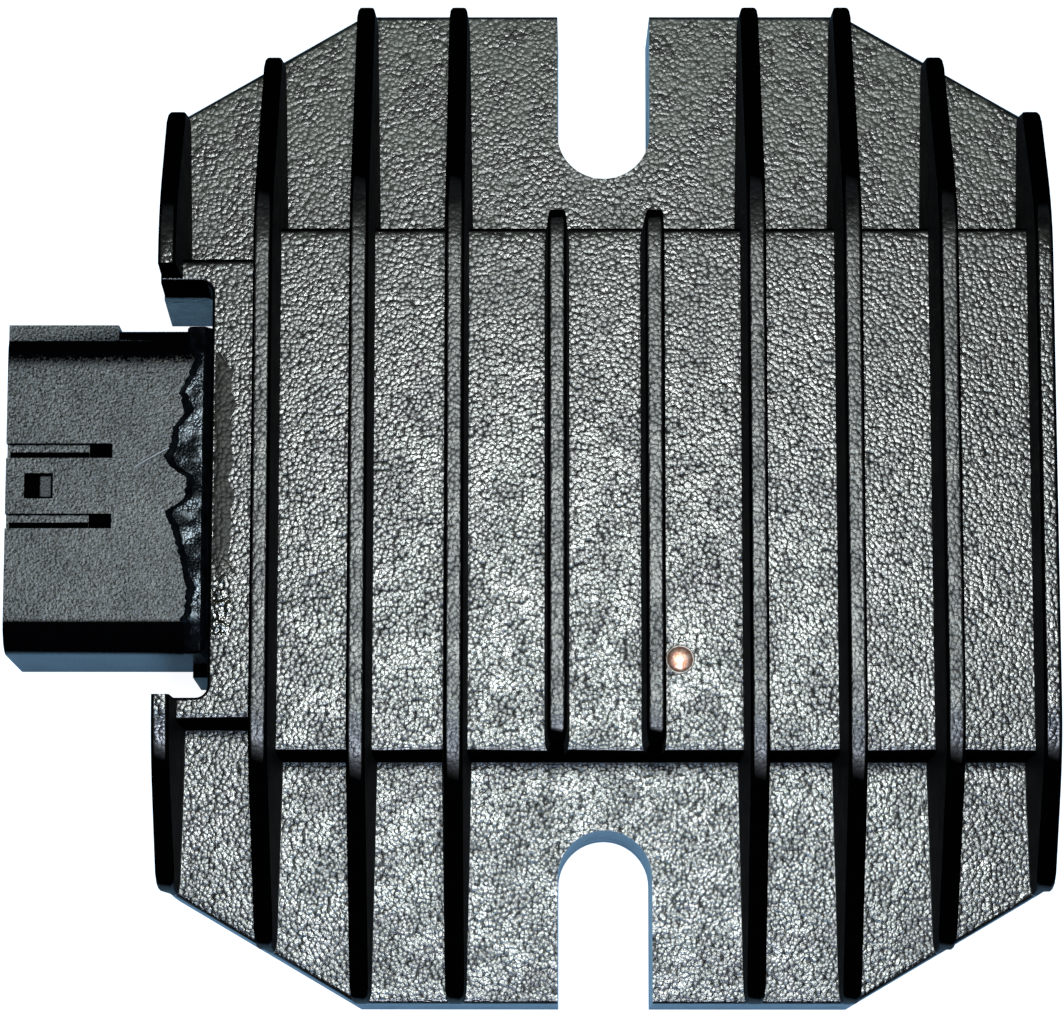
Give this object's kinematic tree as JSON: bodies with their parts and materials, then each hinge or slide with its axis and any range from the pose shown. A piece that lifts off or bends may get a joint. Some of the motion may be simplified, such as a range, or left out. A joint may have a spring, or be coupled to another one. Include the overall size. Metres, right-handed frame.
{
  "type": "voltage regulator rectifier",
  "caption": "Finned die-cast housing with open mounting slots, a raised block over a potted circuit, and a plug connector with a keyed socket on one side.",
  "frame": {"origin": "centre of the overall box in X and Y, at the mounting face", "axes": "+Z out of the mounting face towards the fins' crests, +Y along the fins from one ear to the other, -X out of the connector's mouth"},
  "size_m": [0.1018, 0.0986, 0.029],
  "materials": {
    "black_hammered_paint": "hammered black gloss paint on a die casting",
    "glass_filled_nylon": "dark grey, fine matte grain",
    "tinned_brass": "bright tin plating",
    "silicone_pad": "matte grey",
    "green_board": "green solder mask",
    "epoxy_package": "moulded black epoxy",
    "chip_epoxy": "moulded black epoxy",
    "capacitor_can": "drawn aluminium can",
    "resistor_ceramic": "dark glaze",
    "potting_resin": "cast black resin",
    "gloss_sealant": "glossy black",
    "copper": "polished rivet head"
  },
  "bodies": {
    "root": {"circuit_board": "green_board", "connector_shell": "glass_filled_nylon", "control_chip": "chip_epoxy", "diode_1": "epoxy_package", "diode_2": "epoxy_package", "diode_3": "epoxy_package", "ground_rivet": "copper", "heatsink_housing": "black_hammered_paint", "potting_compound": "potting_resin", "root_sealant": "gloss_sealant", "sense_resistor_1": "resistor_ceramic", "sense_resistor_2": "resistor_ceramic", "smoothing_capacitor": "capacitor_can", "terminal_negative": "tinned_brass", "terminal_phase_1": "tinned_brass", "terminal_phase_2": "tinned_brass", "terminal_phase_3": "tinned_brass", "terminal_positive": "tinned_brass", "terminal_sense": "tinned_brass", "thermal_pad": "silicone_pad", "thyristor_1": "epoxy_package", "thyristor_2": "epoxy_package", "thyristor_3": "epoxy_package"}
  },
  "joints": []
}
